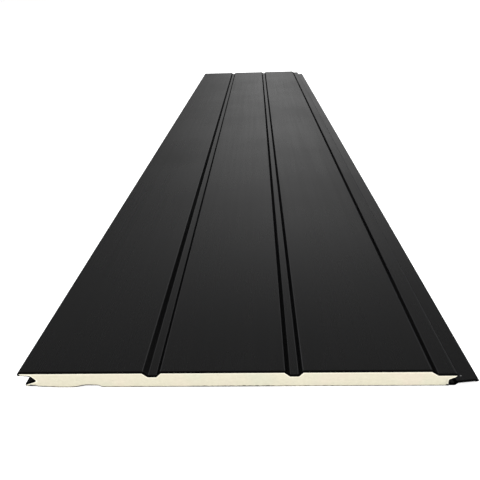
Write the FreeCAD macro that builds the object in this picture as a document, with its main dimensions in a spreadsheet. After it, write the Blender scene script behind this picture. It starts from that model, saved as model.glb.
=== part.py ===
# A foam-backed metal siding panel, lying on its back, face up.
# Three layers make it: a roll-formed painted steel face, a rigid foam core
# and a thin foil over the foam's back. All three run the whole length.
# Across is +X with the nose at the left, along is +Y, up is +Z.
# Sections are drawn at the near end, measured from the tip of the nose and
# up from the back of the panel, in millimetres.
import FreeCAD, Part
import math
import os

import Sketcher

Vector = FreeCAD.Vector

os.makedirs("parts", exist_ok=True)
doc = FreeCAD.newDocument("siding_panel")

SIZES = {
    "panel_length": "2000",
    "cover_width": "383",
    "panel_thickness": "16",
    "board_count": "3",
    "sheet_gauge": "0.5",
    "foil_gauge": "0.2",
    # grooves that part the face into boards
    "nose_lead": "3",
    "groove_depth": "4.2",
    "groove_fall": "5",
    "groove_floor": "7.6",
    "groove_climb": "4",
    "crest_bend": "1",
    "valley_bend": "1.5",
    # nose, and the slot and lower lip under it
    "lip_thickness": "3.95",
    "nose_bend": "1.2",
    "nose_fold": "0.8",
    "nose_taper": "0.6",
    "slot_reach": "16.6",
    "slot_drop": "5.4",
    "slot_bend": "1",
    "roof_run": "5",
    "roof_bend": "6.5",
    "lip_length": "10.4",
    "lip_foam": "1.35",
    # back of the lower lip, relieved for the flange of the next panel
    "lip_relief": "1.8",
    "relief_flat": "9.6",
    "relief_step": "0.7",
    "relief_knee": "1.8",
    "relief_ramp": "19.4",
    # tongue that enters the slot of the next panel
    "step_lead": "1.7",
    "step_fall": "6.3",
    "step_brow": "2.5",
    "step_bend": "3",
    "wall_offset": "4.2",
    "tongue_length": "7.7",
    "tongue_end": "2.7",
    "tongue_end_height": "2.9",
    "tongue_rise": "2.1",
    "tongue_bend": "0.8",
    "tongue_knee_bend": "2",
    # flange for the screws, sprung up off the wall until it is screwed down
    "wall_bend": "1.2",
    "root_height": "1",
    "root_width": "5.3",
    "root_bend": "1.5",
    "joggle_run": "2.6",
    "joggle_rise": "2.5",
    "flange_width": "18.3",
    "flange_slope": "6.6",
    "flange_bend": "1",
    "hem_width": "2.8",
    "hem_bend": "0.3",
    # hollow pressed into the back at the near end
    "hollow_place": "49.5",
    "hollow_slope": "13.5",
    "hollow_crown": "9.5",
    "hollow_brow": "4.5",
    "hollow_depth": "2.3",
    "hollow_run": "220",
    "crown_bend": "8",
    "brow_bend": "3",
}

sizes = doc.addObject("Spreadsheet::Sheet", "Sizes")
for row, (name, number) in enumerate(SIZES.items(), start=1):
    sizes.set("A%d" % row, name)
    sizes.set("B%d" % row, number)
    sizes.setAlias("B%d" % row, name)
doc.recompute()


def sized(text):
    """Spell out each size named in an expression as its cell in the spreadsheet."""
    for name in sorted(SIZES, key=len, reverse=True):
        text = text.replace("<%s>" % name, "Sizes.%s" % name)
    return text


def number(text):
    """Value that an expression has now."""
    return float(sizes.evalExpression(sized(text)))


def rounded(before, corner, after, radius):
    """Two tangent points and the centre of the arc that rounds one corner."""
    inward = (before - corner).normalize()
    outward = (after - corner).normalize()
    half = inward.getAngle(outward) / 2.0
    reach = radius / math.tan(half)
    centre = corner + (inward + outward).normalize() * (radius / math.sin(half))
    return corner + inward * reach, corner + outward * reach, centre


def arc_between(start, end, centre, radius):
    """Arc from start to end the short way round, and whether it runs backwards."""
    circle = Part.Circle(centre, Vector(0, 0, 1), radius)
    first = math.atan2(start.y - centre.y, start.x - centre.x)
    last = math.atan2(end.y - centre.y, end.x - centre.x)
    backwards = (last - first) % (2 * math.pi) > math.pi
    if backwards:
        first, last = last, first
    return Part.ArcOfCircle(circle, first, last), backwards


def draw(sketch, corners, closed):
    """Draw a line through corners (across, up, bend radius or None), each bound."""
    count = len(corners)
    spots = [Vector(number(across), number(up), 0) for across, up, bend in corners]
    ends = []
    for index, (across, up, bend) in enumerate(corners):
        if bend is None:
            ends.append((spots[index], spots[index], None))
        else:
            before = spots[index - 1]
            after = spots[(index + 1) % count]
            ends.append(rounded(before, spots[index], after, number(bend)))
    rules = []
    bound = []
    lines = []
    for index in range(count if closed else count - 1):
        span = Part.LineSegment(ends[index][1], ends[(index + 1) % count][0])
        lines.append(sketch.addGeometry(span, False))
    for index, (across, up, bend) in enumerate(corners):
        inner = closed or 0 < index < count - 1
        leaving = lines[index] if index < len(lines) else None
        arriving = lines[index - 1] if index > 0 or closed else None
        if bend is None:
            spot = (leaving, 1) if leaving is not None else (arriving, 2)
            if inner:
                rules.append(Sketcher.Constraint("Coincident", arriving, 2, leaving, 1))
        else:
            start, end, centre = ends[index]
            arc, backwards = arc_between(start, end, centre, number(bend))
            bow = sketch.addGeometry(arc, False)
            spot = (sketch.addGeometry(Part.Point(spots[index]), True), 1)
            first, last = (2, 1) if backwards else (1, 2)
            rules.append(Sketcher.Constraint("Tangent", arriving, 2, bow, first))
            rules.append(Sketcher.Constraint("Tangent", bow, last, leaving, 1))
            rules.append(Sketcher.Constraint("PointOnObject", spot[0], 1, arriving))
            rules.append(Sketcher.Constraint("PointOnObject", spot[0], 1, leaving))
            bound.append((len(rules), bend))
            rules.append(Sketcher.Constraint("Radius", bow, number(bend)))
        for kind, text, place in (("DistanceX", across, spots[index].x),
                                  ("DistanceY", up, spots[index].y)):
            bound.append((len(rules), text))
            rules.append(Sketcher.Constraint(kind, -1, 1, spot[0], spot[1], place))
    sketch.addConstraint(rules)
    for place, text in bound:
        sketch.setExpression("Constraints[%d]" % place, sized(text))


def section(name):
    """Empty sketch standing upright at the near end of the panel."""
    sketch = doc.addObject("Sketcher::SketchObject", name)
    sketch.Placement = FreeCAD.Placement(Vector(), FreeCAD.Rotation(Vector(1, 0, 0), 90))
    sketch.setExpression("Placement.Base.x", sized("0 - %s / 2" % overall))
    sketch.setExpression("Placement.Base.y", sized("-<panel_length> / 2"))
    return sketch


def drawn_out(name, base, along, fall):
    """Solid swept from a section along the panel, sinking by fall on the way."""
    sweep = doc.addObject("Part::Extrusion", name)
    sweep.Base = base
    sweep.DirMode = "Custom"
    sweep.Solid = True
    sweep.setExpression("Dir.x", "0")
    sweep.setExpression("Dir.y", sized(along))
    sweep.setExpression("Dir.z", sized("0 - (%s)" % fall))
    return sweep


def thickened(name, path, gauge):
    """Closed section between a line and its copy one gauge away."""
    skin = doc.addObject("Part::Offset2D", name)
    skin.Source = path
    skin.Mode = "Skin"
    skin.Join = "Tangent"
    skin.Fill = True
    skin.setExpression("Value", sized(gauge))
    return skin


# Corners of the sheet's foam side, from the lower lip round to the tongue.
crest = "<panel_thickness> - <sheet_gauge>"
valley = crest + " - <groove_depth>"
roof = "<panel_thickness> - <lip_thickness> + <sheet_gauge>"
lip_tip = "<slot_reach> - <lip_length>"
lip_back = "<lip_relief> + <foil_gauge>"
nose = [
    (lip_tip, lip_back + " + <lip_foam>", None),
    ("<slot_reach>", roof + " - <slot_drop>", "<slot_bend>"),
    ("<slot_reach> - <roof_run>", roof, "<roof_bend>"),
    ("<sheet_gauge>", roof + " + <nose_taper>", "<nose_fold>"),
    ("<sheet_gauge>", crest, "<nose_bend>"),
]

# One groove ends each board; the last is left half open for the next panel.
pitch = "<cover_width> / <board_count>"
first_groove = pitch + " - <groove_fall> - <groove_floor> - <groove_climb> + <nose_lead>"
boards = []
for board in range(int(number("<board_count>")) - 1):
    edge = "%s + %d * %s" % (first_groove, board, pitch)
    foot = edge + " + <groove_fall>"
    heel = foot + " + <groove_floor>"
    boards.append((edge, crest, "<crest_bend>"))
    boards.append((foot, valley, "<valley_bend>"))
    boards.append((heel, valley, "<valley_bend>"))
    boards.append((heel + " + <groove_climb>", crest, "<crest_bend>"))

step = "%s + (<board_count> - 1) * %s + <step_lead>" % (first_groove, pitch)
wall = "<cover_width> + <wall_offset>"
knee = valley + " - <tongue_end_height>"
tongue = [
    (step, crest, "<step_brow>"),
    (step + " + <step_fall>", valley, "<step_bend>"),
    (wall + " + <tongue_length>", valley, "<tongue_bend>"),
    (wall + " + <tongue_length> - <tongue_end>", knee, "<tongue_knee_bend>"),
    (wall, knee + " - <tongue_rise>", "<valley_bend>"),
]

# The flange leaves the wall, and its hem is folded back square to its slope.
root_end = wall + " + <root_width>"
flange_start = root_end + " + <joggle_run>"
flange_base = "<root_height> + <joggle_rise>"
overall = "(%s + <flange_width>)" % flange_start
hem_gap = "2.5 * <hem_bend>"
hem_edge = ("%s - <sheet_gauge> - <hem_bend> + <hem_bend> * cos(<flange_slope>)"
            " - (%s - <hem_bend>) * sin(<flange_slope>)" % (overall, hem_gap))
hem_height = "%s + (%s - (%s)) * tan(<flange_slope>)" % (flange_base, hem_edge, flange_start)
fold_edge = "%s + %s * sin(<flange_slope>)" % (hem_edge, hem_gap)
fold_height = "%s - %s * cos(<flange_slope>)" % (hem_height, hem_gap)
flange = [
    (wall, "<root_height>", "<wall_bend>"),
    (root_end, "<root_height>", "<root_bend>"),
    (flange_start, flange_base, "<flange_bend>"),
    (hem_edge, hem_height, "<hem_bend>"),
    (fold_edge, fold_height, "<hem_bend>"),
    (fold_edge + " - <hem_width> * cos(<flange_slope>)",
     fold_height + " - <hem_width> * sin(<flange_slope>)", None),
]

# Corners of the foam's back, from the foot of the wall to the lower lip.
relief = lip_tip + " + <relief_flat>"
back = [
    (wall, "<foil_gauge>", None),
    (relief + " + <relief_knee> + <relief_ramp>", "<foil_gauge>", None),
    (relief + " + <relief_knee>", lip_back + " - <relief_step>", None),
    (relief, lip_back, None),
    (lip_tip, lip_back, None),
]

# Face sheet: one roll-formed line, thickened to the sheet's gauge.
face_line = section("face_line")
draw(face_line, nose + boards + tongue + flange, False)
face_section = thickened("face_section", face_line, "<sheet_gauge>")
face_sheet = drawn_out("face_sheet", face_section, "<panel_length>", "0")

# Hollow pressed into the back, deepest at the near end and run out to nothing.
# The void is cut from the foil, and the same shape grown by the foil from the foam.
def arch(grow):
    left = "<hollow_place> - %s" % grow
    crown = "<hollow_place> + <hollow_slope>"
    brow = crown + " + <hollow_crown>"
    right = brow + " + <hollow_brow> + %s" % grow
    foot = "<foil_gauge> / 2 + %s" % grow
    top = "<hollow_depth> + %s" % grow
    return [
        (left, "0 - <hollow_depth>", None),
        (left, foot, None),
        (crown, top, "<crown_bend>"),
        (brow, top, "<brow_bend>"),
        (right, foot, None),
        (right, "0 - <hollow_depth>", None),
    ]


hollow_line = section("hollow_line")
draw(hollow_line, arch("0"), True)
hollow = drawn_out("hollow", hollow_line, "<hollow_run>", "<hollow_depth> * 1.2")
bulge_line = section("bulge_line")
draw(bulge_line, arch("<foil_gauge>"), True)
bulge = drawn_out("bulge", bulge_line, "<hollow_run>", "<hollow_depth> * 1.2")

# Foam core: fills the sheet's section down to the foil.
foam_body = doc.addObject("PartDesign::Body", "foam_body")
foam_line = foam_body.newObject("Sketcher::SketchObject", "foam_line")
plane = [item for item in foam_body.Origin.OriginFeatures if item.Role == "XZ_Plane"][0]
foam_line.AttachmentSupport = [(plane, "")]
foam_line.MapMode = "FlatFace"
draw(foam_line, nose + boards + tongue + back, True)
foam_fill = foam_body.newObject("PartDesign::Pad", "foam_fill")
foam_fill.Profile = foam_line
foam_fill.Reversed = True
foam_fill.setExpression("Length", sized("<panel_length>"))
foam_body.setExpression("Placement.Base.x", sized("0 - %s / 2" % overall))
foam_body.setExpression("Placement.Base.y", sized("-<panel_length> / 2"))
foam_core = doc.addObject("Part::Cut", "foam_core")
foam_core.Base = foam_body
foam_core.Tool = bulge

# Backing foil: a flat strip under the foam that follows the hollow up.
foil_line = section("foil_line")
draw(foil_line, back, False)
foil_section = thickened("foil_section", foil_line, "<foil_gauge>")
foil_strip = drawn_out("foil_strip", foil_section, "<panel_length>", "0")
above = doc.addObject("Part::Box", "above")
above.setExpression("Length", sized(overall))
above.setExpression("Width", sized("<panel_length>"))
above.setExpression("Height", sized("<panel_thickness>"))
above.setExpression("Placement.Base.x", sized("0 - %s / 2" % overall))
above.setExpression("Placement.Base.y", sized("-<panel_length> / 2"))
pocket = doc.addObject("Part::Common", "pocket")
pocket.Base = bulge
pocket.Tool = above
foil_whole = doc.addObject("Part::Fuse", "foil_whole")
foil_whole.Base = foil_strip
foil_whole.Tool = pocket
backing_foil = doc.addObject("Part::Cut", "backing_foil")
backing_foil.Base = foil_whole
backing_foil.Tool = hollow

doc.recompute()

for item in doc.Objects:
    if "Invalid" in item.State or "Error" in item.State:
        raise RuntimeError("%s did not build: %s" % (item.Label, item.State))

for item in (face_sheet, foam_core, backing_foil):
    shape = item.Shape
    if shape.isNull() or not shape.isValid():
        raise RuntimeError("%s has no valid shape" % item.Label)
    if len(shape.Solids) != 1:
        raise RuntimeError("%s is not one solid" % item.Label)
    shape.exportStep("parts/%s.step" % item.Label)
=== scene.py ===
"""Looks of a foam-backed metal siding panel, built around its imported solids.

The panel lies on its back. Across is +X with the nose at the left, along is +Y, up is +Z.
Sections are measured from the tip of the nose and up from the back, in metres.
"""

import math
import random

import bmesh
import bpy
import numpy as np
from bpy.props import FloatProperty, FloatVectorProperty, IntProperty, PointerProperty
from mathutils import Euler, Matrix, Vector, geometry, noise


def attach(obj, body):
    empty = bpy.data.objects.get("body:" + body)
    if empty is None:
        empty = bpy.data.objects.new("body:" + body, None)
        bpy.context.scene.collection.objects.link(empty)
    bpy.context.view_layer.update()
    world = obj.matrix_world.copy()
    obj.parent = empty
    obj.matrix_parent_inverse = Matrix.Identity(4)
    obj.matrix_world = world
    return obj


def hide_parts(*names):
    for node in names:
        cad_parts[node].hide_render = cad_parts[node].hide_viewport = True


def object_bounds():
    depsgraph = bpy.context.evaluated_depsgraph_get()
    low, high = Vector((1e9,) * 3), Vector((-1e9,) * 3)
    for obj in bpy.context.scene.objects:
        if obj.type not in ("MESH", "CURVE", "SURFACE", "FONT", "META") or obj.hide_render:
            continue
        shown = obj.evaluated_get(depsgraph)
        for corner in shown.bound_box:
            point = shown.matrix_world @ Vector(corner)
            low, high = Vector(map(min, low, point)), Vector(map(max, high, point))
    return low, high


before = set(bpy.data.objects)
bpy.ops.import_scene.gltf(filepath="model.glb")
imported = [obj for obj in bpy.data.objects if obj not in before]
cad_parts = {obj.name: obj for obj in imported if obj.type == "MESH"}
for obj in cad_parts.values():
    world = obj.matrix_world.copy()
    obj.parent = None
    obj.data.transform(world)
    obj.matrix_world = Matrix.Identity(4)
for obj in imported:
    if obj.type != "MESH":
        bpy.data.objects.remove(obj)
solid_low, solid_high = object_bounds()

bl_info = {
    "name": "Metal siding panel",
    "version": (1, 0, 0),
    "blender": (4, 5, 0),
    "location": "3D View > Sidebar > Siding",
    "description": "Builds a foam-backed metal siding panel with its finishes and a plain stage",
    "category": "Add Mesh",
}


def length(name, default, description):
    """A size of the panel."""
    return FloatProperty(name=name, description=description, default=default, unit="LENGTH", precision=5)


def colour(name, default, description):
    """A colour of one of the finishes."""
    return FloatVectorProperty(name=name, description=description, default=default, subtype="COLOR",
                               size=3, min=0.0, max=1.0)


def strength(name, default, description):
    """How strong a light of the stage is."""
    return FloatProperty(name=name, description=description, default=default, min=0.0)


class SidingSizes(bpy.types.PropertyGroup):
    """Sizes of the panel and of its section."""

    panel_length: length("Panel length", solid_high.y - solid_low.y, "Length along the boards")
    panel_width: length("Panel width", solid_high.x - solid_low.x, "Nose tip to hem")
    panel_thickness: length("Panel thickness", solid_high.z - solid_low.z, "Back to the crest of the boards")
    cover_width: length("Cover width", 0.383, "Pitch from one panel to the next on a wall")
    board_count: IntProperty(name="Boards", description="Boards pressed into the face", default=3, min=1)
    sheet_gauge: length("Sheet gauge", 0.0005, "Thickness of the steel face")
    foil_gauge: length("Foil gauge", 0.0002, "Thickness of the foil on the back")
    nose_lead: length("Nose lead", 0.003, "How far the grooves sit to the right of an even pitch")
    groove_depth: length("Groove depth", 0.0042, "Crest down to the floor of a groove")
    groove_fall: length("Groove fall", 0.005, "Width of a groove's left slope")
    groove_floor: length("Groove floor", 0.0076, "Width of a groove's floor")
    groove_climb: length("Groove climb", 0.004, "Width of a groove's right slope")
    crest_bend: length("Crest bend", 0.001, "Inner radius at a board's edge")
    valley_bend: length("Valley bend", 0.0015, "Radius at a groove's floor")
    lip_thickness: length("Upper lip", 0.00395, "Height of the lip above the slot")
    nose_bend: length("Nose bend", 0.0012, "Inner radius over the nose")
    nose_fold: length("Nose fold", 0.0008, "Inner radius under the nose")
    nose_taper: length("Nose taper", 0.0006, "Rise of the slot's roof towards the nose")
    slot_reach: length("Slot reach", 0.0166, "Nose tip to the end of the slot")
    slot_drop: length("Slot drop", 0.0054, "Roof of the slot down to its end")
    slot_bend: length("Slot bend", 0.001, "Radius at the end of the slot")
    roof_run: length("Roof run", 0.005, "Width of the slope at the end of the slot")
    roof_bend: length("Roof bend", 0.0065, "Radius where the slot's roof turns down")
    lip_length: length("Lower lip", 0.0104, "Length of the lip under the slot")
    lip_foam: length("Lip foam", 0.00135, "Height of bare foam at the lower lip's tip")
    lip_relief: length("Lip relief", 0.0018, "Height of the lower lip off the floor")
    relief_flat: length("Relief flat", 0.0096, "Level stretch behind the lower lip's tip")
    relief_step: length("Relief step", 0.0007, "Drop at the knee of the relief")
    relief_knee: length("Relief knee", 0.0018, "Width of that drop")
    relief_ramp: length("Relief ramp", 0.0194, "Ramp from the knee down to the back")
    step_lead: length("Step lead", 0.0017, "How much wider the last board is")
    step_fall: length("Step fall", 0.0063, "Width of the slope from the last board to the tongue")
    step_brow: length("Step brow", 0.0025, "Inner radius at the head of that slope")
    step_bend: length("Step bend", 0.003, "Radius at the foot of that slope")
    wall_offset: length("Wall offset", 0.0042, "Side wall beyond the cover width")
    tongue_length: length("Tongue length", 0.0077, "Tongue beyond the side wall")
    tongue_end: length("Tongue end", 0.0027, "Run of the tongue's cut-back end")
    tongue_end_height: length("Tongue end height", 0.0029, "Height of the tongue's cut-back end")
    tongue_rise: length("Tongue rise", 0.0021, "Rise of the tongue's underside")
    tongue_bend: length("Tongue bend", 0.0008, "Inner radius at the tongue's tip")
    tongue_knee_bend: length("Tongue knee bend", 0.002, "Radius under the tongue's tip")
    wall_bend: length("Wall bend", 0.0012, "Radius at the foot of the side wall")
    root_height: length("Root height", 0.001, "Height of the flange's root off the floor")
    root_width: length("Root width", 0.0053, "Width of the flange's root")
    root_bend: length("Root bend", 0.0015, "Radius after the root")
    joggle_run: length("Joggle run", 0.0026, "Width of the flange's step up")
    joggle_rise: length("Joggle rise", 0.0025, "Height of the flange's step up")
    flange_slope: FloatProperty(name="Flange slope", description="Spring of the flange off the wall",
                                default=math.radians(6.6), unit="ROTATION")
    flange_bend: length("Flange bend", 0.001, "Radius at the flange's start")
    hem_width: length("Hem width", 0.0028, "Width of the folded hem")
    hem_bend: length("Hem bend", 0.0003, "Inner radius of the hem")
    hollow_place: length("Hollow place", 0.0495, "Nose tip to the hollow in the back")
    hollow_slope: length("Hollow slope", 0.0135, "Width of the hollow's long slope")
    hollow_crown: length("Hollow crown", 0.0095, "Width of the hollow's top")
    hollow_brow: length("Hollow brow", 0.0045, "Width of the hollow's short slope")
    hollow_depth: length("Hollow depth", 0.0023, "Depth of the hollow at the near end")
    hollow_run: length("Hollow run", 0.22, "Length over which the hollow runs out")
    hollow_sink: length("Hollow sink", 0.00276, "How far the hollow sinks over its run")
    turned_edge: length("Turned edge", 0.0003, "How far the saw turned the sheet's end down")
    saw_burr: length("Saw burr", 0.00025, "Burr that the saw threw inwards along the sheet's end")
    saw_nibble: length("Saw nibble", 0.00008, "Unevenness of the sawn edges")
    sheet_wave: length("Sheet wave", 0.00006, "Depth of the slow waves in the face")
    foil_wave: length("Foil wave", 0.00009, "Depth of the wrinkles in the foil")
    foil_burr: length("Foil burr", 0.0008, "Most that the saw dragged the foil up over the foam")
    nose_void: length("Nose void", 0.0003, "Fold of the nose that the foam does not fill, at the crest")
    foam_tear: length("Foam tear", 0.00014, "Depth of the torn cells on the sawn foam")


class SidingFinishes(bpy.types.PropertyGroup):
    """Colours of the panel's finishes."""

    paint: colour("Paint", (0.0016, 0.0016, 0.0017), "Satin coat of the face")
    # Painted highlight: a lighter coat laid along the bends, as if they caught the light.
    bend_highlight_paint: colour("Bend highlight", (0.026, 0.026, 0.027), "The coat where a bend stretched it")
    primer: colour("Primer", (0.16, 0.165, 0.165), "Coat on the foam side of the sheet")
    # Near black for the sheet's sawn ends, partly coat dragged over the cut and partly painted shade; also
    # used for the painted dark band at both ends, the dark corner of the foam and the darkened near edge of
    # the foil.
    cut_steel_and_shade: colour("Cut steel and shade", (0.006, 0.006, 0.006), "Sawn edge of the sheet, with coat dragged over")
    # Painted highlight: the two lighter lines along the bend at the tongue's top.
    tongue_highlight_paint: colour("Tongue highlight", (0.034, 0.034, 0.036), "The coat where the tongue is rubbed")
    # Painted light: a lighter grey on the floor of the slot, where light from the side would fall.
    slot_light_paint: colour("Slot light", (0.009, 0.0087, 0.0093), "Dust that settled on the floor of the slot")
    # A lighter grey spot beside the tongue: a painted glint, drawn as bare steel where the coat is off.
    bare_steel_glint: colour("Bare steel", (0.11, 0.11, 0.11), "Dulled steel where the coat is chipped")
    paint_roughness: FloatProperty(name="Paint roughness", description="Roughness of the coat",
                                   default=0.27, subtype="FACTOR", min=0.0, max=1.0)
    foam: colour("Foam", (0.528, 0.500, 0.392), "Sawn foam")
    foam_green: colour("Greenish foam", (0.502, 0.494, 0.388), "Foam where it blew greener")
    foam_pink: colour("Pinkish foam", (0.548, 0.496, 0.402), "Foam where it blew warmer")
    # Also painted at the tongue's tip as a highlight on the foam.
    foam_skin_and_highlight: colour("Foam skin", (0.88, 0.852, 0.715), "Denser foam close under the sheet")
    # Darker foam: painted shade in the pores, and darker patches along the foot and by the side wall.
    dark_foam: colour("Dark foam", (0.23, 0.215, 0.18), "Dirt on the foam")
    foil: colour("Foil", (0.52, 0.50, 0.465), "Dull foil")
    foil_burr: colour("Foil burr", (0.115, 0.106, 0.09), "Foil dragged and soiled by the saw")
    foil_smudge: colour("Foil smudge", (0.05, 0.047, 0.042), "Smudges on the foil")


class SidingStage(bpy.types.PropertyGroup):
    """Floor, light and camera."""

    floor: colour("Floor", (0.87, 0.87, 0.87), "Pale floor")
    key: strength("Key light", 2.6, "Strength of the soft key")
    fill: strength("Fill light", 1.7, "Strength of the matt fill")
    strip: strength("Strip light", 0.44, "Brightness of the strip ahead")
    ring: strength("Ring light", 0.42, "Brightness of the soft light all round")
    room: strength("Room light", 0.5, "Even light of the room")
    lens: FloatProperty(name="Lens", description="Focal length on a 36 mm sensor", default=40.282,
                        unit="CAMERA")
    eye: FloatVectorProperty(name="Eye", description="Place of the camera", subtype="TRANSLATION", size=3,
                             default=(0.014122, -1.384578, 0.321470), unit="LENGTH")
    gaze: FloatVectorProperty(name="Gaze", description="Turn of the camera", subtype="EULER", size=3,
                              default=(math.radians(65.388), math.radians(1.5965), math.radians(1.5133)))


# Bend of a corner that looks sharp.
SHARP = 0.0001


def sheet_corners(size):
    """Corners of the sheet's foam side from the lower lip round to the hem: across, up, bend."""
    crest = size.panel_thickness - size.sheet_gauge
    valley = crest - size.groove_depth
    roof = size.panel_thickness - size.lip_thickness + size.sheet_gauge
    lip_tip = size.slot_reach - size.lip_length
    lip_back = size.lip_relief + size.foil_gauge
    corners = [
        (lip_tip, lip_back + size.lip_foam, SHARP),
        (size.slot_reach, roof - size.slot_drop, size.slot_bend),
        (size.slot_reach - size.roof_run, roof, size.roof_bend),
        (size.sheet_gauge, roof + size.nose_taper, size.nose_fold),
        (size.sheet_gauge, crest, size.nose_bend),
    ]
    pitch = size.cover_width / size.board_count
    groove = size.groove_fall + size.groove_floor + size.groove_climb
    for board in range(size.board_count - 1):
        edge = (board + 1) * pitch - groove + size.nose_lead
        corners.append((edge, crest, size.crest_bend))
        corners.append((edge + size.groove_fall, valley, size.valley_bend))
        corners.append((edge + size.groove_fall + size.groove_floor, valley, size.valley_bend))
        corners.append((edge + groove, crest, size.crest_bend))
    step = size.cover_width - groove + size.nose_lead + size.step_lead
    wall = size.cover_width + size.wall_offset
    knee = valley - size.tongue_end_height
    tip = wall + size.tongue_length
    corners += [
        (step, crest, size.step_brow),
        (step + size.step_fall, valley, size.step_bend),
        (tip, valley, size.tongue_bend),
        (tip - size.tongue_end, knee, size.tongue_knee_bend),
        (wall, knee - size.tongue_rise, size.valley_bend),
    ]
    run, rise = math.cos(size.flange_slope), math.sin(size.flange_slope)
    flange = wall + size.root_width + size.joggle_run
    base = size.root_height + size.joggle_rise
    gap = 2.5 * size.hem_bend
    hem = size.panel_width - size.sheet_gauge - size.hem_bend * (1 - run) - (gap - size.hem_bend) * rise
    hem_up = base + (hem - flange) * rise / run
    fold, fold_up = hem + gap * rise, hem_up - gap * run
    corners += [
        (wall, size.root_height, size.wall_bend),
        (wall + size.root_width, size.root_height, size.root_bend),
        (flange, base, size.flange_bend),
        (hem, hem_up, size.hem_bend),
        (fold, fold_up, size.hem_bend),
        (fold - size.hem_width * run, fold_up - size.hem_width * rise, SHARP),
    ]
    return corners


def back_corners(size):
    """Corners of the foam's back from the foot of the side wall to the lower lip: across, up, bend."""
    lip_tip = size.slot_reach - size.lip_length
    lip_back = size.lip_relief + size.foil_gauge
    relief = lip_tip + size.relief_flat
    knee = relief + size.relief_knee
    ramp_bend, knee_bend = 0.03, 0.002
    return [
        (size.cover_width + size.wall_offset, size.foil_gauge, SHARP),
        (knee + size.relief_ramp, size.foil_gauge, ramp_bend),
        (knee, lip_back - size.relief_step, knee_bend),
        (relief, lip_back, knee_bend),
        (lip_tip, lip_back, SHARP),
    ]


def foam_corners(size):
    """Corners of the foam: the sheet's foam side as far as the side wall, then the back."""
    return sheet_corners(size)[:-6] + back_corners(size)


def hollow_lift(size, across, along):
    """Height of the hollow in the back at a place, measured from the nose tip and the near end."""
    left = (across - size.hollow_place) / size.hollow_slope
    brow = size.hollow_place + size.hollow_slope + size.hollow_crown + size.hollow_brow
    right = (brow - across) / size.hollow_brow
    if left <= 0 or right <= 0:
        return 0.0
    left = min(left, 1.0)
    right = min(right, 1.0)
    shape = left * left * (3 - 2 * left) * right * right * (3 - 2 * right)
    return max(0.0, size.hollow_depth * shape - size.hollow_sink * along / size.hollow_run)


class Wiring:
    """Adds nodes to a tree from left to right and joins them."""

    def __init__(self, tree):
        self.tree = tree
        tree.nodes.clear()

    def add(self, kind, feeds=None, **settings):
        """A new node with its settings made and its inputs fed."""
        count = len(self.tree.nodes)
        node = self.tree.nodes.new(kind)
        node.location = (220 * (count // 4), -200 * (count % 4))
        for name, value in settings.items():
            setattr(node, name, value)
        for place, value in (feeds or {}).items():
            self.feed(node.inputs[place], value)
        return node

    def feed(self, socket, value):
        """Join a node or socket to an input, or set the input's own value."""
        if isinstance(value, bpy.types.Node):
            value = value.outputs[0]
        if isinstance(value, bpy.types.NodeSocket):
            self.tree.links.new(value, socket)
        else:
            socket.default_value = value

    def math(self, operation, *values):
        """Result of a sum."""
        return self.add("ShaderNodeMath", dict(enumerate(values)), operation=operation).outputs[0]

    def times(self, result, *others):
        """Product of the values."""
        for value in others:
            result = self.math("MULTIPLY", result, value)
        return result

    def plus(self, result, *others):
        """Sum of the values."""
        for value in others:
            result = self.math("ADD", result, value)
        return result

    def minus(self, first, second):
        """First value less the second."""
        return self.math("SUBTRACT", first, second)

    def whole(self, operation, *values):
        """Result of a sum in whole numbers."""
        return self.add("FunctionNodeIntegerMath", dict(enumerate(values)), operation=operation).outputs[0]

    def vector(self, operation, *values):
        """Result of a sum of vectors; a distance is a plain value."""
        node = self.add("ShaderNodeVectorMath", dict(enumerate(values)), operation=operation)
        return node.outputs["Value" if operation in ("LENGTH", "DISTANCE") else "Vector"]

    def parts(self, vector):
        """Parts of a vector, by axis."""
        return self.add("ShaderNodeSeparateXYZ", {0: vector}).outputs

    def spread(self, value, low, high, first=0.0, last=1.0):
        """A value eased from one range to another."""
        return self.add("ShaderNodeMapRange", {0: value, 1: low, 2: high, 3: first, 4: last},
                        interpolation_type="SMOOTHSTEP").outputs[0]

    def fall(self, value, low, high):
        """A value eased from full down to nothing."""
        return self.spread(value, low, high, 1.0, 0.0)

    def cloud(self, place, seed, scale, detail):
        """Seeded noise at a place."""
        feeds = {"Vector": place, "W": seed, "Scale": scale, "Detail": detail}
        return self.add("ShaderNodeTexNoise", feeds, noise_dimensions="4D").outputs[0]

    def sample(self, line, value, place, kind="FLOAT_VECTOR"):
        """Value of a field at one point of a line."""
        return self.add("GeometryNodeSampleIndex", {"Geometry": line, "Value": value, "Index": place},
                        data_type=kind, domain="POINT", clamp=True)

    def blend(self, amount, first, second):
        """Two colours mixed; a finish's plain colour gets its alpha here."""
        colours = [value if isinstance(value, bpy.types.NodeSocket) else (*value, 1.0)
                   for value in (first, second)]
        feeds = {0: amount, 6: colours[0], 7: colours[1]}
        return self.add("ShaderNodeMix", feeds, data_type="RGBA").outputs[2]

    def group(self, tree, **feeds):
        """A node group placed with its inputs fed by name, spaces written as underscores."""
        kind = "GeometryNodeGroup" if tree.bl_idname == "GeometryNodeTree" else "ShaderNodeGroup"
        named = {name.replace("_", " "): value for name, value in feeds.items()}
        return self.add(kind, named, node_tree=tree)


def node_group(name, kind, inputs, outputs):
    """An empty node group with its sockets: name, kind and, for an input, its usual value."""
    tree = bpy.data.node_groups.new(name, kind)
    for socket_name, socket_kind, usual in inputs:
        socket = tree.interface.new_socket(name=socket_name, in_out="INPUT",
                                           socket_type="NodeSocket" + socket_kind)
        if usual is not None:
            socket.default_value = usual
    for socket_name, socket_kind in outputs:
        tree.interface.new_socket(name=socket_name, in_out="OUTPUT", socket_type="NodeSocket" + socket_kind)
    return tree


def made_once(name, maker, *needs):
    """A node group made at its first use."""
    return bpy.data.node_groups.get(name) or maker(*needs)


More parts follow.
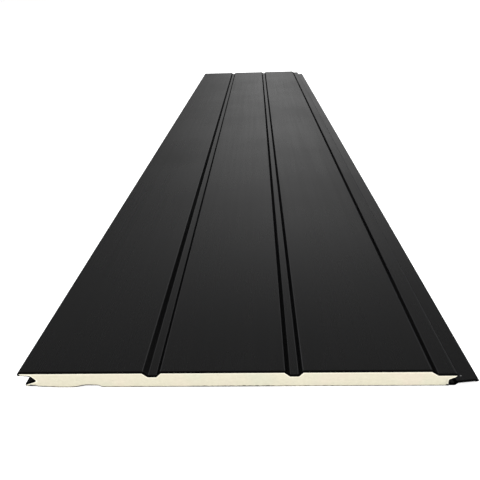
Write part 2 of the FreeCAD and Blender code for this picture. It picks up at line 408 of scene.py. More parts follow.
LINE_INPUTS = (
    ("Corners", "Geometry", None),
    ("Bend Segments", "Int", 6),
    ("Longest Span", "Float", 0.008),
)
STRIP_INPUTS = (
    ("Length", "Float", 2.0),
    ("Gauge", "Float", 0.0005),
    ("Turned Edge", "Float", 0.0),
    ("Saw Burr", "Float", 0.0),
    ("Saw Nibble", "Float", 0.0),
    ("Wave Depth", "Float", 0.0),
    ("Wave Size", "Float", 0.3),
    ("Seed", "Float", 0.0),
)
PIECE_INPUTS = (
    ("Stations", "Int", 96),
    ("Material", "Material", None),
)


def passed(given, inputs):
    """A tree's own inputs, to feed to a group that asks for the same."""
    return {name: given[name] for name, kind, usual in inputs}


def bent_line_tree():
    """Nodes that round every corner of a line to its own bend and divide the long spans."""
    tree = node_group("bent_line", "GeometryNodeTree", LINE_INPUTS, (("Line", "Geometry"),))
    net = Wiring(tree)
    given = net.add("NodeGroupInput").outputs
    path = net.add("GeometryNodeMeshToCurve", {"Mesh": given["Corners"]})
    bend = net.add("GeometryNodeInputNamedAttribute", {"Name": "bend"}, data_type="FLOAT")
    bent = net.add("GeometryNodeFilletCurve", {
        "Curve": path, "Count": given["Bend Segments"], "Radius": bend, "Limit Radius": True}, mode="POLY")
    size = net.add("GeometryNodeAttributeDomainSize", {"Geometry": bent}, component="CURVE")
    spot = net.add("GeometryNodeInputPosition")
    after = net.whole("ADD", net.add("GeometryNodeInputIndex"), 1)
    after = net.whole("MODULO", after, size.outputs["Point Count"])
    following = net.add("GeometryNodeFieldAtIndex", {"Value": spot, "Index": after},
                        data_type="FLOAT_VECTOR", domain="POINT")
    span = net.vector("DISTANCE", spot, following)
    cuts = net.math("FLOOR", net.math("DIVIDE", span, given["Longest Span"]))
    line = net.add("GeometryNodeSubdivideCurve", {"Curve": bent, "Cuts": cuts})
    net.add("NodeGroupOutput", {"Line": line})
    return tree


def strip_place_tree():
    """Nodes that place one point of a formed strip: a place on its line, its face, a station."""
    tree = node_group("strip_place", "GeometryNodeTree", (
        ("Line", "Geometry", None),
        ("Place", "Int", 0),
        ("Inner", "Float", 0.0),
        ("Along", "Float", 0.0),
    ) + STRIP_INPUTS, (("Position", "Vector"), ("Bend Highlight", "Float")))
    net = Wiring(tree)
    given = net.add("NodeGroupInput").outputs
    line = given["Line"]
    place = given["Place"]
    tangent = net.add("GeometryNodeInputTangent")
    spot = net.add("GeometryNodeInputPosition")
    index = net.add("GeometryNodeInputIndex")
    run = net.parts(tangent)
    outward = net.add("ShaderNodeCombineXYZ", {"X": net.times(run["Z"], -1.0), "Z": run["X"]})

    def beside(value, shift):
        """Value of a field one point before or after."""
        neighbour = net.whole("ADD", index, shift)
        return net.add("GeometryNodeFieldAtIndex", {"Value": value, "Index": neighbour},
                       data_type="FLOAT_VECTOR", domain="POINT")

    nothing = 0.00001
    slight_bend, sharp_bend = 100.0, 450.0
    turn = net.vector("DISTANCE", beside(tangent, 1), beside(tangent, -1))
    reach = net.vector("DISTANCE", beside(spot, 1), beside(spot, -1))
    curve = net.math("DIVIDE", turn, net.math("MAXIMUM", reach, nothing))
    # How sharply the line bends here: the mask of the painted highlight along the bends.
    bend_highlight = net.sample(line, net.spread(curve, slight_bend, sharp_bend), place, "FLOAT")

    saw_reach = 0.002
    centre = net.sample(line, spot, place)
    away = net.sample(line, outward, place)
    from_end = net.minus(net.times(given["Length"], 0.5), net.math("ABSOLUTE", given["Along"]))
    near = net.math("MAXIMUM", net.minus(1.0, net.math("DIVIDE", from_end, saw_reach)), 0.0)
    near = net.times(near, near)
    turned = net.times(given["Turned Edge"], near)
    burr = net.times(given["Saw Burr"], near, given["Inner"])
    lift = net.times(given["Gauge"], net.minus(1.0, given["Inner"]))

    teeth_per_metre = 420.0
    at_end = net.math("LESS_THAN", from_end, nothing)
    ragged = net.cloud(centre, given["Seed"], teeth_per_metre, 3.0)
    nibble = net.times(given["Saw Nibble"], ragged, at_end, net.math("SIGN", given["Along"]))
    along = net.minus(given["Along"], nibble)

    still_end = 0.06
    section = net.parts(centre)
    here = net.add("ShaderNodeCombineXYZ", {"X": section["X"], "Y": given["Along"], "Z": section["Z"]})
    waves = net.cloud(here, given["Seed"], net.math("DIVIDE", 1.0, given["Wave Size"]), 2.0)
    wave = net.times(given["Wave Depth"], waves, net.spread(from_end, 0.0, still_end))

    offset = net.minus(lift, net.plus(turned, burr, wave))
    lifted = net.add("ShaderNodeVectorMath", {0: away, "Scale": offset}, operation="SCALE")
    moved = net.vector("ADD", centre, lifted)
    station = net.add("ShaderNodeCombineXYZ", {"Y": along})
    net.add("NodeGroupOutput", {"Position": net.vector("ADD", moved, station), "Bend Highlight": bend_highlight})
    return tree


def bent_section(net, given, bent_line):
    """The bent line of a piece's section, and how many points it has."""
    line = net.group(bent_line, **passed(given, LINE_INPUTS))
    size = net.add("GeometryNodeAttributeDomainSize", {"Geometry": line}, component="CURVE")
    return line, size.outputs["Point Count"]


def skin_grid(net, around, given):
    """A grid to wrap round a section: its mesh, and each point's place round it and station along.

    The stations are closer together towards both ends.
    """
    stations = given["Stations"]
    index = net.add("GeometryNodeInputIndex")
    skin = net.add("GeometryNodeMeshGrid", {
        "Vertices X": net.whole("ADD", around, 1), "Vertices Y": stations})
    ring = net.whole("MODULO", net.whole("DIVIDE", index, stations), around)
    row = net.whole("MODULO", index, stations)
    part = net.minus(net.math("DIVIDE", row, net.whole("SUBTRACT", stations, 1)), 0.5)
    along = net.times(net.math("SINE", net.times(part, math.pi)), given["Length"], 0.5)
    return skin, ring, along


def put_out(net, mesh, material):
    """Weld and smooth a mesh, and put it out with its material."""
    weld = 0.000002
    welded = net.add("GeometryNodeMergeByDistance", {"Geometry": mesh, "Distance": weld})
    smooth = net.add("GeometryNodeSetShadeSmooth", {"Geometry": welded, "Shade Smooth": True})
    real = net.add("GeometryNodeRealizeInstances", {"Geometry": smooth})
    finished = net.add("GeometryNodeSetMaterial", {"Geometry": real, "Material": material})
    net.add("NodeGroupOutput", {0: finished})


def formed_strip_tree(bent_line, strip_place):
    """Nodes that form a thin strip along a bent line: both faces, long edges and sawn ends, closed."""
    tree = node_group("formed_strip", "GeometryNodeTree", LINE_INPUTS + STRIP_INPUTS + PIECE_INPUTS,
                      (("Strip", "Geometry"),))
    net = Wiring(tree)
    given = net.add("NodeGroupInput").outputs
    line, count = bent_section(net, given, bent_line)

    def marked(mesh, name, value, domain="POINT"):
        """A mesh with a mark that the finish reads."""
        return net.add("GeometryNodeStoreNamedAttribute", {"Geometry": mesh, "Name": name, "Value": value},
                       data_type="FLOAT", domain=domain)

    def placed(mesh, place, inner, along, sawn):
        """A grid moved to its places on the strip, with its marks."""
        spot = net.group(strip_place, Line=line, Place=place, Inner=inner, Along=along,
                         **passed(given, STRIP_INPUTS)).outputs
        mesh = marked(mesh, "inner", inner)
        mesh = marked(mesh, "bend_highlight", spot["Bend Highlight"])
        mesh = net.add("GeometryNodeSetPosition", {"Geometry": mesh, "Position": spot["Position"]})
        return marked(mesh, "sawn", sawn, "FACE")

    around = net.whole("MULTIPLY", count, 2)
    skin, ring, along = skin_grid(net, around, given)
    inner = net.minus(1.0, net.math("LESS_THAN", ring, count))
    returning = net.whole("SUBTRACT", net.whole("SUBTRACT", around, 1), ring)
    place = net.add("GeometryNodeSwitch", {"Switch": inner, "False": ring, "True": returning},
                    input_type="INT")
    faces = placed(skin, place, inner, along, 0.0)

    index = net.add("GeometryNodeInputIndex")
    edge = net.add("GeometryNodeMeshGrid", {"Vertices X": count, "Vertices Y": 2})
    place = net.whole("DIVIDE", index, 2)
    inner = net.whole("MODULO", index, 2)
    near, far = (placed(edge, place, inner, net.times(given["Length"], side), 1.0) for side in (-0.5, 0.5))
    near = net.add("GeometryNodeFlipFaces", {"Mesh": near})

    joined = net.add("GeometryNodeJoinGeometry")
    for mesh in (far, near, faces):
        tree.links.new(mesh.outputs[0], joined.inputs[0])
    put_out(net, joined, given["Material"])
    return tree


def foam_run_tree(bent_line):
    """Nodes that run the foam's closed outline along the panel, its two ends left open."""
    tree = node_group("foam_run", "GeometryNodeTree", LINE_INPUTS + STRIP_INPUTS[:1] + PIECE_INPUTS,
                      (("Run", "Geometry"),))
    net = Wiring(tree)
    given = net.add("NodeGroupInput").outputs
    line, count = bent_section(net, given, bent_line)
    skin, ring, along = skin_grid(net, count, given)
    spot = net.sample(line, net.add("GeometryNodeInputPosition"), ring)
    station = net.add("ShaderNodeCombineXYZ", {"Y": along})
    moved = net.vector("ADD", spot, station)
    run = net.add("GeometryNodeSetPosition", {"Geometry": skin, "Position": moved})
    put_out(net, run, given["Material"])
    return tree


def strip_tree():
    """The nodes for a formed strip."""
    bent_line = made_once("bent_line", bent_line_tree)
    strip_place = made_once("strip_place", strip_place_tree)
    return made_once("formed_strip", formed_strip_tree, bent_line, strip_place)


def foam_tree():
    """The nodes for the foam's run."""
    return made_once("foam_run", foam_run_tree, made_once("bent_line", bent_line_tree))


def plain_mesh(piece):
    """Turn a piece's modifiers into its own mesh."""
    depsgraph = bpy.context.evaluated_depsgraph_get()
    shaped = bpy.data.meshes.new_from_object(piece.evaluated_get(depsgraph), preserve_all_data_layers=True,
                                             depsgraph=depsgraph)
    piece.modifiers.clear()
    spent = piece.data
    piece.data = shaped
    bpy.data.meshes.remove(spent)
    shaped.name = piece.name


def formed(name, size, corners, closed, tree, values):
    """A piece that a node tree shapes from the corners of its section."""
    half = size.panel_width / 2
    count = len(corners)
    edges = [(place, place + 1) for place in range(count - 1)]
    if closed:
        edges.append((count - 1, 0))
    mesh = bpy.data.meshes.new(name)
    mesh.from_pydata([(across - half, 0.0, up) for across, up, bend in corners], edges, [])
    bends = [bend for across, up, bend in corners]
    mesh.attributes.new("bend", "FLOAT", "POINT").data.foreach_set("value", bends)
    piece = bpy.data.objects.new(name, mesh)
    bpy.context.scene.collection.objects.link(piece)
    maker = piece.modifiers.new("shape", "NODES")
    maker.node_group = tree
    for socket in tree.interface.items_tree:
        if socket.item_type == "SOCKET" and socket.in_out == "INPUT" and socket.name in values:
            maker[socket.identifier] = values[socket.name]
    plain_mesh(piece)
    piece.data.materials.clear()
    piece.data.materials.append(values["Material"])
    piece.data.polygons.foreach_set("material_index", [0] * len(piece.data.polygons))
    return piece


def placed_on_panel(piece, node):
    """Let a finished piece ride on the panel in place of its solid."""
    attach(piece, "root")
    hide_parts(node)


def distances(points, line):
    """Distance of each point to a run of straight spans."""
    best = np.full(len(points), np.inf)
    for start, end in zip(line[:-1], line[1:]):
        span = end - start
        part = np.clip(((points - start) @ span) / max(span @ span, 1e-18), 0.0, 1.0)
        best = np.minimum(best, np.linalg.norm(points - start - part[:, None] * span, axis=1))
    return best


def inside(points, outline):
    """Which points lie within a closed outline."""
    found = np.zeros(len(points), bool)
    for start, end in zip(outline, np.roll(outline, -1, axis=0)):
        spans = (start[1] > points[:, 1]) != (end[1] > points[:, 1])
        if start[1] == end[1]:
            continue
        cross = start[0] + (points[:, 1] - start[1]) / (end[1] - start[1]) * (end[0] - start[0])
        found ^= spans & (points[:, 0] < cross)
    return found


def open_loop(block, end):
    """Vertices round the open end of a block, in order."""
    edges = [edge for edge in block.edges if edge.is_boundary and abs(edge.verts[0].co.y - end) < 1e-4]
    rim = set(edges)
    loop = [edges[0].verts[0]]
    used = set()
    while True:
        edge = next((edge for edge in loop[-1].link_edges if edge in rim and edge not in used), None)
        if edge is None:
            break
        used.add(edge)
        loop.append(edge.other_vert(loop[-1]))
    return loop[:-1]


def close_sawn_end(block, end, seed):
    """Close an open end of the foam with a fine net of faces, and give back its vertices."""
    spacing = 0.00085
    row_rise = 0.866 * spacing
    scatter = 0.3
    rim_clearance = 0.45 * spacing
    loop = open_loop(block, end)
    outline = np.array([(vertex.co.x, vertex.co.z) for vertex in loop])
    low, high = outline.min(0), outline.max(0)
    shake = random.Random(seed)
    spots = []
    for row in range(int((high[1] - low[1]) / row_rise) + 1):
        for column in range(int((high[0] - low[0]) / spacing) + 1):
            across = low[0] + (column + 0.5 * (row % 2) + shake.uniform(-scatter, scatter)) * spacing
            up = low[1] + row * row_rise + shake.uniform(-scatter, scatter) * spacing
            spots.append((across, up))
    spots = np.array(spots)
    spots = spots[inside(spots, outline)]
    rim = np.vstack([outline, outline[:1]])
    spots = spots[distances(spots, rim) > rim_clearance]
    count = len(loop)
    corners = [Vector(spot) for spot in (*outline, *spots)]
    edges = [(place, (place + 1) % count) for place in range(count)]
    filled = geometry.delaunay_2d_cdt(corners, edges, [list(range(count))], 1, 1e-9)
    points, faces, sources = filled[0], filled[2], filled[3]
    made = []
    for point, origins in zip(points, sources):
        rim_place = next((place for place in origins if place < count), None)
        made.append(loop[rim_place] if rim_place is not None else block.verts.new((point.x, end, point.y)))
    for face in faces:
        order = face if end < 0 else face[::-1]
        block.faces.new([made[place] for place in order]).smooth = True
    return made


def saw_depth(size, across, up, rim, pits, seed):
    """How deep the saw and the torn cells bite into the foam's end at a place."""
    least_bite, wander_bite = 0.00005, 0.00006
    whole_rim = 0.001
    waves_across, waves_up, cells = 55, 90, 650
    wander = 0.5 + 0.5 * noise.noise((across * waves_across, up * waves_up, seed))
    torn = max(0.0, noise.fractal((across * cells, up * cells, seed + 3), 1.0, 2.0, 3))
    depth = least_bite + wander_bite * wander + size.foam_tear * torn * min(1.0, rim / whole_rim)
    for pit_across, pit_up, reach, bite in pits:
        near = ((across - pit_across) ** 2 + (up - pit_up) ** 2) / reach ** 2
        if near < 6:
            depth += bite * math.exp(-near)
    return depth


def saw_end(block, skin, size, end, seed):
    """Close one end of the foam, mark its denser skin and sink the saw's marks into it."""
    pit_count = 110
    drag_depth, drag_reach = 0.00018, 0.0016
    edge_depth, edge_reach = 0.0001, 0.0005
    void_depth, void_slope, void_lean = 0.005, 0.0007, 0.9
    skin_reach = 0.0011
    middle = size.panel_width / 2
    covered, back = (np.array([(across - middle, up) for across, up, bend in corners])
                     for corners in (sheet_corners(size)[:-5], back_corners(size)))
    made = close_sawn_end(block, end, seed)
    places = np.array([(vertex.co.x, vertex.co.z) for vertex in made])
    shake = random.Random(seed)
    pits = [(shake.uniform(-middle, middle), shake.uniform(0.001, 0.0155),
             shake.uniform(0.0004, 0.0009), shake.uniform(0.0001, 0.0004)) for pit in range(pit_count)]
    for vertex, sheet_gap, back_gap in zip(made, distances(places, covered), distances(places, back)):
        across, up = vertex.co.x, vertex.co.z
        depth = saw_depth(size, across, up, min(sheet_gap, back_gap), pits, seed)
        depth += drag_depth * max(0.0, 1.0 - back_gap / drag_reach)
        depth += edge_depth * math.exp(-(sheet_gap / edge_reach) ** 2)
        if up > size.panel_thickness - size.lip_thickness:
            into_nose = size.nose_void + void_lean * (size.panel_thickness - up) - across - middle
            depth += void_depth * min(1.0, max(0.0, into_nose / void_slope))
        vertex.co.y = end - math.copysign(depth, end)
        vertex[skin] = math.exp(-(sheet_gap / skin_reach) ** 2)


def edge_soil_and_shadow(across):
    """How dark the foil's near edge is painted, at a place measured from the panel's middle: painted shadow
    under the lower lip and along the hollow, plain darker stretches in the middle and at the side wall.
    """
    stretches = ((-0.1942, 0.0032, 1.0), (-0.146, 0.013, 0.5), (-0.009, 0.048, 0.6), (0.1802, 0.0024, 1.0))
    return max(amount * max(0.0, 1.0 - ((across - place) / reach) ** 4)
               for place, reach, amount in stretches)


def burr_height(size, across, soil_and_shadow, seed):
    """Height of the foil that the saw dragged up over the foam's end, broken along its length."""
    slow_waves, fast_waves = 70, 420
    slow = noise.noise((across * slow_waves, 0.0, seed))
    fast = noise.noise((across * fast_waves, 5.0, seed))
    dragged = min(1.0, max(0.25, 0.55 + 0.5 * slow + 0.7 * fast))
    # The burr stands taller where the edge is painted dark, so the dark line is wider.
    least_soil_and_shadow = 0.2 + 0.5 * soil_and_shadow ** 3
    return size.foil_burr * (dragged + soil_and_shadow * min(1.2, max(least_soil_and_shadow, 0.7 + 1.4 * fast)))


def soft_patches_group():
    """Soft uneven patches, as a mask."""
    tree = node_group("soft_patches", "ShaderNodeTree", (
        ("Place", "Vector", None),
        ("Patch Size", "Float", 0.1),
        ("Detail", "Float", 2.0),
        ("Seed", "Float", 0.0),
        ("From", "Float", 0.4),
        ("To", "Float", 0.6),
    ), (("Mask", "Float"),))
    net = Wiring(tree)
    given = net.add("NodeGroupInput").outputs
    per_metre = net.math("DIVIDE", 1.0, given["Patch Size"])
    cloud = net.cloud(given["Place"], given["Seed"], per_metre, given["Detail"])
    net.add("NodeGroupOutput", {"Mask": net.spread(cloud, given["From"], given["To"])})
    return tree


def patches(net, place, size, detail, seed, low, high):
    """Mask of soft patches on a piece, from the group that the finishes share."""
    tree = made_once("soft_patches", soft_patches_group)
    node = net.group(tree, Place=place, Patch_Size=size, Detail=detail, Seed=seed, From=low, To=high)
    return node.outputs["Mask"]


def finish_named(name):
    """A new material with its nodes and the place on the piece that its patterns follow."""
    material = bpy.data.materials.new(name)
    material.use_nodes = True
    net = Wiring(material.node_tree)
    return material, net, net.add("ShaderNodeTexCoord").outputs["Object"]


def surface(net, feeds):
    """Give a material its shader, fed by name."""
    net.add("ShaderNodeOutputMaterial", {"Surface": net.add("ShaderNodeBsdfPrincipled", feeds)})


def bump(net, height, strength, distance):
    """Fine relief from a height, for a shader's normal."""
    return net.add("ShaderNodeBump", {"Height": height, "Strength": strength, "Distance": distance})


def mark(net, name):
    """A mark stored on the piece."""
    return net.add("ShaderNodeAttribute", attribute_name=name).outputs["Fac"]


def painted_steel(finish):
    """Satin coat on steel with primer inside and sawn edges; painted highlights on the bends and the tongue,
    painted light in the slot, a painted dark band at the ends and a painted glint beside the tongue.
    """
    material, net, place = finish_named("satin_coat")
    cloud = patches(net, place, size=0.22, detail=3.0, seed=1.0, low=0.3, high=0.7)
    long_way = net.add("ShaderNodeMapping", {"Vector": place, "Scale": (1.0, 0.02, 1.0)})
    rolled = patches(net, long_way, size=0.006, detail=3.0, seed=2.0, low=0.3, high=0.75)
    bend_highlight = mark(net, "bend_highlight")
    inner = mark(net, "inner")
    spot = net.parts(place)
    # Painted shade: within about 2 mm of both ends the coat is painted near black and made metallic, a dark
    # rim along the turned ends.
    dark_band_from, dark_band_full = solid_high.y - 0.0023, solid_high.y - 0.0017
    dark_end_band = net.spread(net.math("ABSOLUTE", spot["Y"]), dark_band_from, dark_band_full)
    sawn = net.math("MAXIMUM", mark(net, "sawn"), dark_end_band)

    # Painted highlight: the coat is painted lighter along the bends.
    coat = net.blend(net.times(bend_highlight, 0.6), finish.paint, finish.bend_highlight_paint)
    # Painted light: the floor of the slot is painted a lighter grey.
    slot_floor, slot_end = (0.0075, 0.0085), (-0.1905, -0.1895)
    in_slot = net.times(net.fall(spot["Z"], *slot_floor), net.fall(spot["X"], *slot_end))
    coat = net.blend(net.times(in_slot, 0.8), coat, finish.slot_light_paint)
    # Painted highlights: two thin lighter lines along the bend at the tongue's top.
    tongue_top = (0.0100, 0.0106)
    on_tongue = net.spread(spot["Z"], *tongue_top)
    highlight_reach, highlight_strength = 0.0005, 0.45
    for highlight_x in (0.1864, 0.1876):
        off = net.math("ABSOLUTE", net.minus(spot["X"], highlight_x))
        line = net.spread(off, highlight_reach - 0.0003, highlight_reach, highlight_strength, 0.0)
        coat = net.blend(net.times(line, on_tongue), coat, finish.tongue_highlight_paint)
    coat = net.blend(inner, coat, finish.primer)
    # The sawn ends and the dark band are painted near black: coat dragged over the cut, and painted shade.
    coat = net.blend(sawn, coat, finish.cut_steel_and_shade)
    # A lighter grey spot on the flange beside the tongue: a painted glint, drawn as bare steel where the
    # coat is off.
    chip_glint_spot = (0.1932, -0.9921, 0.00455)
    chip_glint_gap = net.vector("DISTANCE", place, chip_glint_spot)
    chip_glint_edge = net.add("ShaderNodeTexNoise", {"Vector": place, "Scale": 1600.0, "Detail": 2.0})
    chip_glint = net.fall(net.plus(chip_glint_gap, net.times(chip_glint_edge.outputs[0], 0.0008)), 0.0011, 0.0013)
    coat = net.blend(chip_glint, coat, finish.bare_steel_glint)

    dulled = net.times(net.math("MAXIMUM", inner, sawn), 0.25)
    rough = net.plus(finish.paint_roughness - 0.03, net.times(cloud, 0.05), net.times(rolled, 0.03), dulled)
    peel = net.add("ShaderNodeTexNoise", {
        "Vector": place, "Scale": 620.0, "Detail": 2.0, "Roughness": 0.45})
    height = net.plus(peel.outputs[0], net.times(rolled, 0.25))
    surface(net, {
        "Base Color": coat,
        "Metallic": sawn,
        "Roughness": rough,
        "Normal": bump(net, height, strength=0.18, distance=0.00003),
    })
    return material


def sawn_foam(finish):
    """Sawn rigid foam: open cells with painted shade in the pores, patches of colour, a denser skin, a
    painted highlight at the tongue's tip and darker patches along the foot, by the side wall and in the
    lower right corner.
    """
    material, net, place = finish_named("sawn_foam")
    green = patches(net, place, size=0.05, detail=2.0, seed=4.0, low=0.48, high=0.66)
    pink = patches(net, place, size=0.042, detail=2.0, seed=9.0, low=0.5, high=0.68)
    pale = patches(net, place, size=0.004, detail=4.0, seed=6.0, low=0.35, high=0.7)
    cells = net.add("ShaderNodeTexVoronoi", {"Vector": place, "Scale": 2100.0, "Randomness": 1.0})
    pores = net.spread(cells.outputs["Distance"], 0.2, 0.75)

    tone = net.blend(green, finish.foam, finish.foam_green)
    tone = net.blend(pink, tone, finish.foam_pink)
    tone = net.blend(net.times(pale, 0.07), tone, finish.foam_skin_and_highlight)
    tone = net.blend(net.times(mark(net, "skin"), 0.9), tone, finish.foam_skin_and_highlight)
    # Painted shade in the open cells: the pores are darkened towards the dark foam colour.
    shaded = net.blend(0.35, tone, finish.dark_foam)
    tone = net.blend(net.times(pores, 0.16), tone, shaded)

    spot = net.parts(place)
    # Darker in patches towards the bottom and close to the side wall.
    foot_patches = patches(net, place, size=0.007, detail=4.0, seed=5.0, low=0.48, high=0.66)
    foot = net.times(net.fall(spot["Z"], 0.0, 0.0016), foot_patches, 0.8)
    streaked = patches(net, place, size=0.006, detail=3.0, seed=12.0, low=0.35, high=0.65)
    by_wall_start, by_wall_height = (0.172, 0.1815), (0.006, 0.009)
    by_wall = net.times(net.spread(spot["X"], *by_wall_start), net.fall(spot["Z"], *by_wall_height))
    darkening = net.math("MAXIMUM", foot, net.times(by_wall, streaked, 0.45))
    # A dark patch in the lower right corner, by the side wall.
    dark_corner_start, dark_corner_height = (0.1778, 0.1784), (0.0015, 0.0022)
    dark_corner = net.times(net.spread(spot["X"], *dark_corner_start), net.fall(spot["Z"], *dark_corner_height))
    # Painted highlight: the foam at the tongue's tip is painted lighter.
    tongue_tip_highlight = net.spread(spot["X"], 0.1846, 0.1868)
    tone = net.blend(tongue_tip_highlight, tone, finish.foam_skin_and_highlight)
    tone = net.blend(darkening, tone, finish.dark_foam)

    slanted = net.add("ShaderNodeMapping", {"Vector": place, "Rotation": (0.0, math.radians(7), 0.0)})
    saw_lines = net.add("ShaderNodeTexWave", {
        "Vector": slanted, "Scale": 220.0, "Distortion": 1.5, "Detail": 2.0}, bands_direction="X")
    height = net.minus(net.times(saw_lines.outputs[1], 0.12), pores)
    surface(net, {
        "Base Color": net.blend(dark_corner, tone, finish.cut_steel_and_shade),
        "Roughness": 0.92,
        "Specular IOR Level": 0.15,
        "Normal": bump(net, height, strength=0.5, distance=0.00012),
    })
    return material


def dull_foil(finish):
    """Dull foil: fine crinkles, smudges and dragged edges, with the near edge painted dark: painted shadow
    under the lower lip and along the hollow, darker stretches elsewhere.
    """
    material, net, place = finish_named("dull_foil")
    smudge = patches(net, place, size=0.09, detail=5.0, seed=7.0, low=0.5, high=0.72)
    specks = patches(net, place, size=0.0022, detail=2.0, seed=5.0, low=0.46, high=0.6)
    dragged = mark(net, "burr")
    tone = net.blend(net.times(smudge, 0.25), finish.foil, finish.foil_smudge)
    tone = net.blend(dragged, tone, finish.foil_burr)
    tone = net.blend(net.times(specks, dragged), tone, finish.foil_smudge)

    broad, fine = (net.add("ShaderNodeTexVoronoi", {"Vector": place, "Scale": scale},
                           feature="DISTANCE_TO_EDGE").outputs[0] for scale in (70.0, 260.0))
    ridges = net.plus(net.fall(broad, 0.0, 0.08), net.times(net.fall(fine, 0.0, 0.1), 0.5))
    surface(net, {
        # The near edge is painted near black: painted shadow under the lower lip and along the hollow,
        # darker stretches elsewhere.
        "Base Color": net.blend(mark(net, "soil_and_shadow"), tone, finish.cut_steel_and_shade),
        "Metallic": net.spread(dragged, 0.0, 1.0, 0.8, 0.1),
        "Roughness": net.plus(0.36, net.times(smudge, 0.22)),
        "Normal": bump(net, ridges, strength=0.35, distance=0.00008),
    })
    return material


def pale_floor(tone):
    """Matt pale floor with a faint unevenness."""
    material, net, place = finish_named("pale_floor")
    cloud = patches(net, place, size=0.8, detail=3.0, seed=14.0, low=0.3, high=0.7)
    darker = [0.97 * value for value in tone]
    surface(net, {
        "Base Color": net.blend(cloud, tone, darker),
        "Roughness": 1.0,
        "Specular IOR Level": 0.0,
        "Emission Color": (*tone, 1.0),
        "Emission Strength": 0.5,
    })
    return material


def strip_light(net, way, up):
    """The long soft strip ahead: a bell across, brighter towards the horizon, wide where it is high."""
    bell_middle, bell_width = 0.3, 1.1
    tilt = net.math("DIVIDE", way["X"], up)
    lean = net.math("DIVIDE", net.minus(tilt, bell_middle), bell_width)
    bell = net.math("EXPONENT", net.times(lean, lean, -1.0))
    bell = net.times(bell, net.fall(tilt, 0.55, 1.25))
    wide = net.spread(up, 0.33, 0.55)
    bell = net.plus(bell, net.times(net.minus(1.0, bell), wide))
    height = net.times(net.spread(up, 0.257, 0.589, 1.22, 0.44), net.spread(up, 0.1, 0.18, 0.86, 1.0))
    ahead = net.spread(way["Y"], 0.5, 0.76)
    return net.times(bell, height, ahead)


def ring_light(net, way, up):
    """The soft ring: behind and at both sides, ahead only where it is high, and brighter overhead."""
    level = net.add("ShaderNodeCombineXYZ", {"X": way["X"], "Y": way["Y"]})
    heading = net.math("DIVIDE", way["Y"], net.vector("LENGTH", level))
    raised = net.times(net.fall(heading, 0.69, 0.77), net.spread(up, 0.32, 0.46))
    around = net.math("MAXIMUM", net.fall(heading, 0.1, 0.35), raised)
    around = net.times(around, net.spread(up, 0.26, 0.6, 1.0, 2.0))
    return net.math("MAXIMUM", around, net.spread(up, 0.74, 0.9, 0.0, 1.8))


def studio_world(stage):
    """Room light: a strip and a ring for the gloss, even light for the rest, a white backdrop."""
    world = bpy.data.worlds.new("studio")
    world.use_nodes = True
    net = Wiring(world.node_tree)
    way = net.parts(net.add("ShaderNodeTexCoord").outputs["Generated"])
    up = net.math("MAXIMUM", way["Z"], 0.01)
    strip = net.times(strip_light(net, way, up), stage.strip)
    ring = net.times(ring_light(net, way, up), stage.ring)
    ray = net.add("ShaderNodeLightPath").outputs
    first_depth = 2
    first_bounce = net.math("LESS_THAN", ray["Ray Depth"], first_depth + 0.5)
    glow = net.times(ray["Is Glossy Ray"], net.plus(strip, ring), first_bounce)
    room = net.times(ray["Is Diffuse Ray"], stage.room)
    total = net.plus(glow, room, ray["Is Camera Ray"])
    background = net.add("ShaderNodeBackground", {"Color": (1.0, 1.0, 1.0, 1.0), "Strength": total})
    net.add("ShaderNodeOutputWorld", {"Surface": background})
    world.cycles.sampling_method = "NONE"
    bpy.context.scene.world = world


def sun_lamp(name, energy, spread, turn):
    """A broad soft light from far away."""
    lamp = bpy.data.lights.new(name, "SUN")
    lamp.energy = energy
    lamp.angle = math.radians(spread)
    sun = bpy.data.objects.new(name, lamp)
    sun.rotation_euler = Euler([math.radians(value) for value in turn], "XYZ")
    sun.visible_glossy = False
    bpy.context.scene.collection.objects.link(sun)


class SIDING_OT_face_sheet(bpy.types.Operator):
    """Roll-form the painted steel face"""

    bl_idname = "siding.face_sheet"
    bl_label = "Painted face"

    def execute(self, context):
        size = context.scene.siding_sizes
        paint = painted_steel(context.scene.siding_finishes)
        piece = formed("painted_face", size, sheet_corners(size), False, strip_tree(), {
            "Length": size.panel_length,
            "Gauge": size.sheet_gauge,
            "Bend Segments": 6,
            "Longest Span": 0.009,
            "Stations": 110,
            "Turned Edge": size.turned_edge,
            "Saw Burr": size.saw_burr,
            "Saw Nibble": size.saw_nibble,
            "Wave Depth": size.sheet_wave,
            "Wave Size": 0.32,
            "Seed": 3.0,
            "Material": paint,
        })
        piece.data.set_sharp_from_angle(angle=math.radians(40))
        evened = piece.modifiers.new("evened", "WEIGHTED_NORMAL")
        evened.keep_sharp = True
        plain_mesh(piece)
        placed_on_panel(piece, "face_sheet")
        return {"FINISHED"}


class SIDING_OT_foam_core(bpy.types.Operator):
    """Fill the face with foam and saw both ends"""

    bl_idname = "siding.foam_core"
    bl_label = "Sawn foam"

    def execute(self, context):
        size = context.scene.siding_sizes
        piece = formed("sawn_foam", size, foam_corners(size), True, foam_tree(), {
            "Length": size.panel_length,
            "Bend Segments": 6,
            "Longest Span": 0.002,
            "Stations": 64,
            "Material": sawn_foam(context.scene.siding_finishes),
        })
        half = size.panel_length / 2
        middle = size.panel_width / 2
        just_over_foil = size.foil_gauge + 0.0003
        block = bmesh.new()
        block.from_mesh(piece.data)
        for vertex in block.verts:
            if vertex.co.z < just_over_foil:
                vertex.co.z += hollow_lift(size, vertex.co.x + middle, vertex.co.y + half)
        skin = block.verts.layers.float.new("skin")
        for end, seed in ((-half, 11), (half, 29)):
            saw_end(block, skin, size, end, seed)
        block.to_mesh(piece.data)
        block.free()
        piece.data.set_sharp_from_angle(angle=math.radians(50))
        placed_on_panel(piece, "foam_core")
        return {"FINISHED"}


